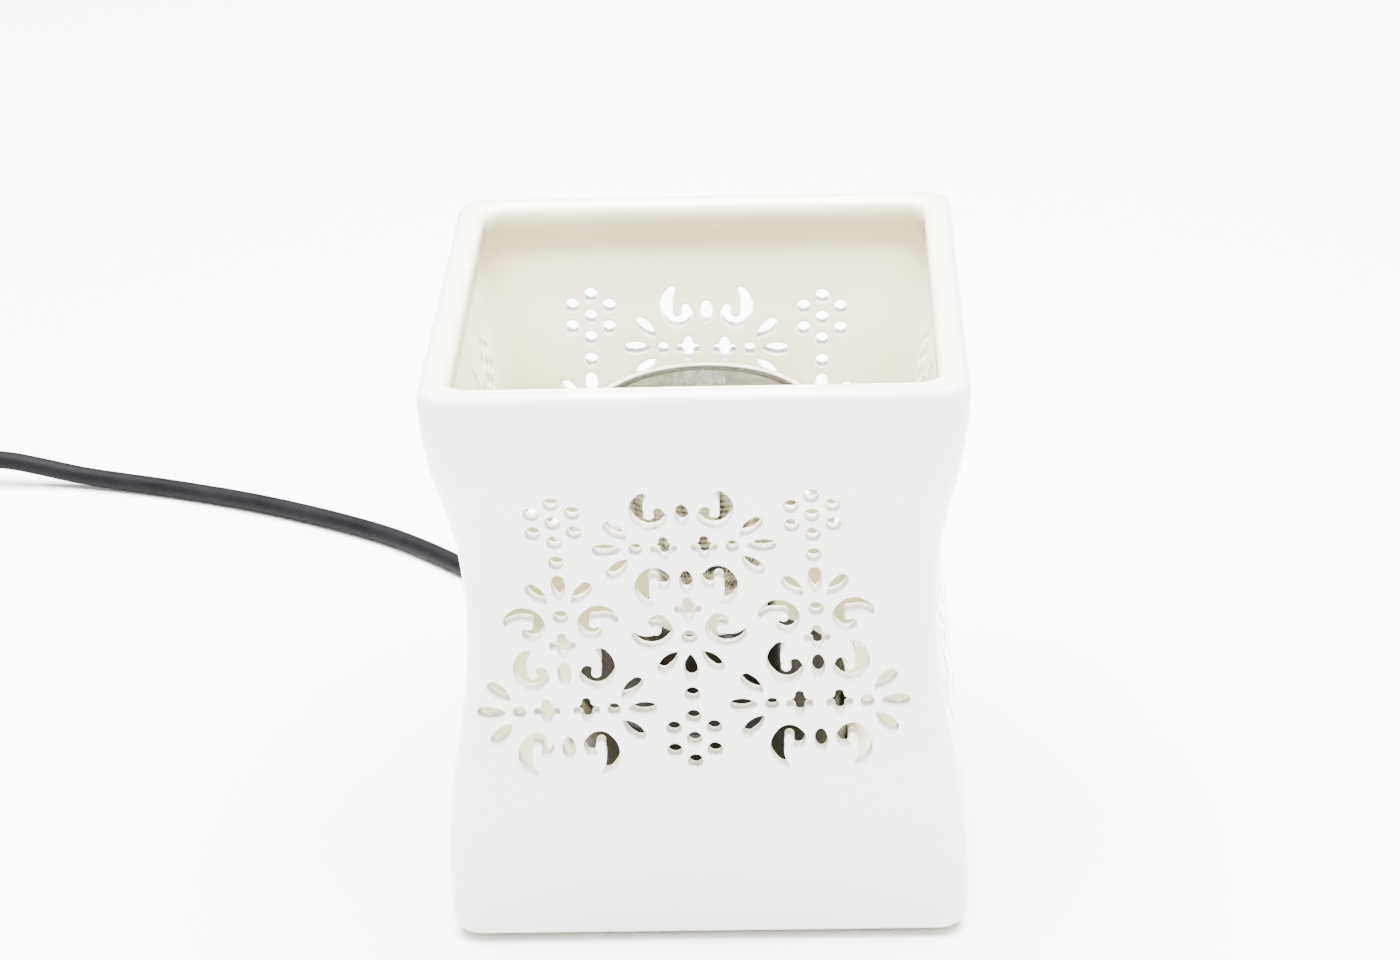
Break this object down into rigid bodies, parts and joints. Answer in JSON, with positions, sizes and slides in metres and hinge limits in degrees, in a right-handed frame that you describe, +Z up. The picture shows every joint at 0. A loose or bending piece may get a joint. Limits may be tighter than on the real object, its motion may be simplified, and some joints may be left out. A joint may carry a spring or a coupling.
{
  "type": "electric essential oil burner",
  "caption": "Square waisted white ceramic lantern with pierced floral walls, open at the top over a reflector lamp in a black holder, on a mains cord with a rocker switch and a two-pin plug.",
  "frame": {"origin": "on the table under the middle of the lantern", "axes": "+Z up; the front wall faces -Y and the cord leaves the back wall, towards +Y, on the -X side"},
  "size_m": [0.3608, 0.2474, 0.127],
  "materials": {
    "white_glaze": "white glaze, glossy",
    "black_moulding": "black, fine satin",
    "black_gloss": "black, glossy",
    "black_rubber": "black, matt",
    "grey_silicone": "translucent grey, matt",
    "zinc_steel": "zinc plated",
    "brass": "bright",
    "terminal_plastic": "off-white",
    "lead_sleeve": "white heat-proof sleeve",
    "live_sleeve": "brown",
    "neutral_sleeve": "blue",
    "cord_sheath": "dark grey, satin",
    "cream_ceramic": "cream, matt",
    "silvered_glass": "silvered, banded",
    "clear_glass": "clear",
    "tungsten": "dull grey",
    "tie_wire": "black, matt"
  },
  "bodies": {
    "burner": {"ceramic_body": "white_glaze", "base_tray": "black_moulding", "rubber_feet": "black_rubber", "floor_gasket_lower": "grey_silicone", "floor_gasket_upper": "grey_silicone", "lamp_housing": "black_moulding", "housing_screws": "zinc_steel", "holder_body": "black_gloss", "holder_cap": "black_moulding", "holder_screws": "zinc_steel", "holder_contacts": "brass", "holder_bracket": "zinc_steel", "bracket_screws": "zinc_steel", "terminal_block": "terminal_plastic", "terminal_tubes": "brass", "terminal_screws": "zinc_steel", "block_screw": "zinc_steel", "holder_lead_live": "lead_sleeve", "holder_lead_neutral": "lead_sleeve", "cord_inner": "cord_sheath", "cord_core_live": "live_sleeve", "cord_core_neutral": "neutral_sleeve", "cord_grip": "terminal_plastic", "grip_screws": "zinc_steel", "cord_bush": "black_rubber", "supply_cord": "cord_sheath", "switch_base": "black_moulding", "switch_cover": "black_moulding", "switch_screws": "zinc_steel", "switch_cores": "live_sleeve", "switch_contacts": "brass", "switch_blade": "brass", "link_cord": "cord_sheath", "cord_coil": "cord_sheath", "cord_ties": "tie_wire", "plug_tail": "cord_sheath", "plug_relief": "black_rubber", "plug_body": "black_moulding", "plug_pins": "brass", "plug_sleeves": "black_moulding"},
    "lamp": {"lamp_base": "cream_ceramic", "lamp_pins": "brass", "lamp_reflector": "silvered_glass", "lamp_glass": "clear_glass", "lamp_capsule": "clear_glass", "lamp_filament": "tungsten"},
    "rocker": {"switch_rocker": "black_gloss"}
  },
  "joints": [
    {"name": "lamp_turn", "type": "hinge", "parent": "burner", "child": "lamp", "pos_m": [0, 0, 0.0471], "axis": [0, 0, 1], "range_deg": [0, 20]},
    {"name": "rocker_tip", "type": "hinge", "parent": "burner", "child": "rocker", "pos_m": [-0.23389, 0.17853, 0.013], "axis": [0.0872, 0.9962, 0], "range_deg": [0, 14]}
  ]
}
